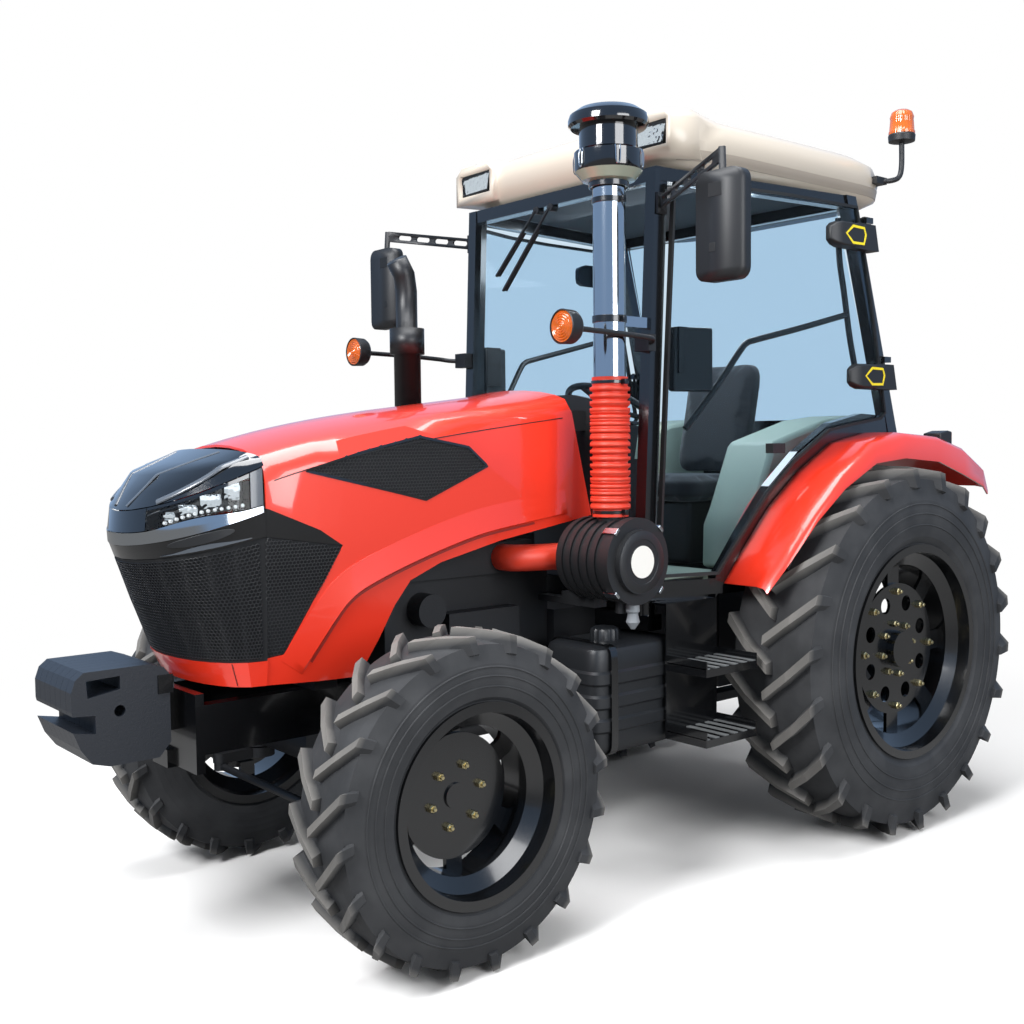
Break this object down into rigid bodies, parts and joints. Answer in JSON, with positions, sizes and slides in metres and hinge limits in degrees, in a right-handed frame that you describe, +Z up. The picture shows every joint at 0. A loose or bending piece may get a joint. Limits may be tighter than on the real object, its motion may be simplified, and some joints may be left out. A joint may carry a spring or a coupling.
{
  "type": "farm tractor",
  "caption": "Red cab farm tractor with a sloping bonnet, black nose, large lugged tyres, front weights, side air stack, opening doors, tilting bonnet and rear lift linkage.",
  "frame": {"origin": "on the ground, in the middle of the overall length and width", "axes": "+X forward, +Y to the driver's left, +Z up"},
  "size_m": [4.3499, 2.28, 3.184],
  "materials": {
    "tyre_rubber": "matt, worn clean",
    "black_enamel": "satin black enamel",
    "cast_iron": "painted charcoal",
    "weight_iron": "dark slate paint",
    "black_plastic": "grained",
    "gloss_black": "gloss",
    "mesh_black": "perforated sheet, satin",
    "lamp_chrome": "bright",
    "red_hose": "corrugated silicone",
    "orange_red": "gloss enamel",
    "roof_beige": "satin",
    "tinted_glass": "tinted",
    "seat_fabric": "woven",
    "grey_trim": "grained",
    "amber_lens": "clear amber"
  },
  "bodies": {
    "chassis": {"steps": "black_enamel", "cab_frame": "black_enamel", "cab_floor": "black_enamel", "front_frame": "black_enamel", "exhaust": "black_enamel", "front_axle": "cast_iron", "transmission": "cast_iron", "engine_block": "cast_iron", "rear_hitch": "cast_iron", "front_weights": "weight_iron", "fuel_tank": "black_plastic", "battery_box": "black_plastic", "air_cleaner": "black_plastic", "cab_cowl": "black_plastic", "dashboard": "black_plastic", "mirrors": "black_plastic", "radiator": "black_plastic", "work_lamps": "lamp_chrome", "intake_pipe": "lamp_chrome", "intake_hoses": "red_hose", "fenders": "orange_red", "roof": "roof_beige", "cab_glass": "tinted_glass", "seat": "seat_fabric", "inner_trim": "grey_trim", "amber_lamps": "amber_lens"},
    "rear_left_wheel": {"rear_tyre_left": "tyre_rubber", "rear_rim_left": "black_enamel"},
    "rear_right_wheel": {"rear_tyre_right": "tyre_rubber", "rear_rim_right": "black_enamel"},
    "front_left_wheel": {"front_tyre_left": "tyre_rubber", "front_rim_left": "black_enamel"},
    "front_right_wheel": {"front_tyre_right": "tyre_rubber", "front_rim_right": "black_enamel"},
    "left_knuckle": {"knuckle_left": "cast_iron"},
    "right_knuckle": {"knuckle_right": "cast_iron"},
    "tie_rod": {"tie_rod": "cast_iron"},
    "steering_wheel": {"steering_wheel": "black_plastic"},
    "left_door": {"door_left": "tinted_glass", "door_left_fittings": "black_plastic"},
    "right_door": {"door_right": "tinted_glass", "door_right_fittings": "black_plastic"},
    "bonnet": {"hood": "orange_red", "nose": "gloss_black", "grilles": "mesh_black", "headlamps": "lamp_chrome"},
    "lower_links": {"lower_links": "cast_iron"},
    "lift_arms": {"lift_arms": "cast_iron"},
    "lift_rods": {"lift_rods": "cast_iron"}
  },
  "joints": [
    {"name": "rear_left_spin", "type": "hinge", "parent": "chassis", "child": "rear_left_wheel", "pos_m": [-1.09, 0.84, 0.79], "axis": [0, 1, 0], "continuous": true},
    {"name": "rear_right_spin", "type": "hinge", "parent": "chassis", "child": "rear_right_wheel", "pos_m": [-1.09, -0.84, 0.79], "axis": [0, 1, 0], "continuous": true},
    {"name": "left_steer", "type": "hinge", "parent": "chassis", "child": "left_knuckle", "pos_m": [1.15, 0.59, 0.5525], "axis": [0, 0, 1], "range_deg": [-35, 35]},
    {"name": "right_steer", "type": "hinge", "parent": "chassis", "child": "right_knuckle", "pos_m": [1.15, -0.59, 0.5525], "axis": [0, 0, 1], "range_deg": [-35, 35]},
    {"name": "tie_rod_pivot", "type": "hinge", "parent": "left_knuckle", "child": "tie_rod", "pos_m": [1.325, 0.59, 0.4105], "axis": [0, 0, 1], "range_deg": [-35, 35]},
    {"name": "front_left_spin", "type": "hinge", "parent": "left_knuckle", "child": "front_left_wheel", "pos_m": [1.15, 0.75, 0.5525], "axis": [0, 1, 0], "continuous": true},
    {"name": "front_right_spin", "type": "hinge", "parent": "right_knuckle", "child": "front_right_wheel", "pos_m": [1.15, -0.75, 0.5525], "axis": [0, 1, 0], "continuous": true},
    {"name": "steering_wheel_turn", "type": "hinge", "parent": "chassis", "child": "steering_wheel", "pos_m": [-0.21, 0, 1.7], "axis": [-0.5, 0, 0.866], "range_deg": [-525, 525]},
    {"name": "left_door_hinge", "type": "hinge", "parent": "chassis", "child": "left_door", "pos_m": [-1.255, 0.765, 1.966], "axis": [0.2406, 0, 0.9706], "range_deg": [0, 70]},
    {"name": "right_door_hinge", "type": "hinge", "parent": "chassis", "child": "right_door", "pos_m": [-1.255, -0.765, 1.966], "axis": [-0.2406, 0, -0.9706], "range_deg": [0, 70]},
    {"name": "bonnet_tilt", "type": "hinge", "parent": "chassis", "child": "bonnet", "pos_m": [0.24, 0, 1.8], "axis": [0, -1, 0], "range_deg": [0, 50]},
    {"name": "link_lift", "type": "hinge", "parent": "chassis", "child": "lower_links", "pos_m": [-1.32, 0, 0.52], "axis": [0, 1, 0], "range_deg": [-15, 45]},
    {"name": "lift_arm_turn", "type": "hinge", "parent": "chassis", "child": "lift_arms", "pos_m": [-1.435, 0, 1.01], "axis": [0, 1, 0], "range_deg": [-15, 45]},
    {"name": "lift_rod_turn", "type": "hinge", "parent": "lift_arms", "child": "lift_rods", "pos_m": [-1.735, 0, 1.01], "axis": [0, 1, 0], "range_deg": [-45, 15]}
  ],
  "couplings": [
    {"joint": "right_steer", "follows": "left_steer", "ratio": 1},
    {"joint": "tie_rod_pivot", "follows": "left_steer", "ratio": -1},
    {"joint": "steering_wheel_turn", "follows": "left_steer", "ratio": 15},
    {"joint": "lift_arm_turn", "follows": "link_lift", "ratio": 1},
    {"joint": "lift_rod_turn", "follows": "link_lift", "ratio": -1}
  ]
}
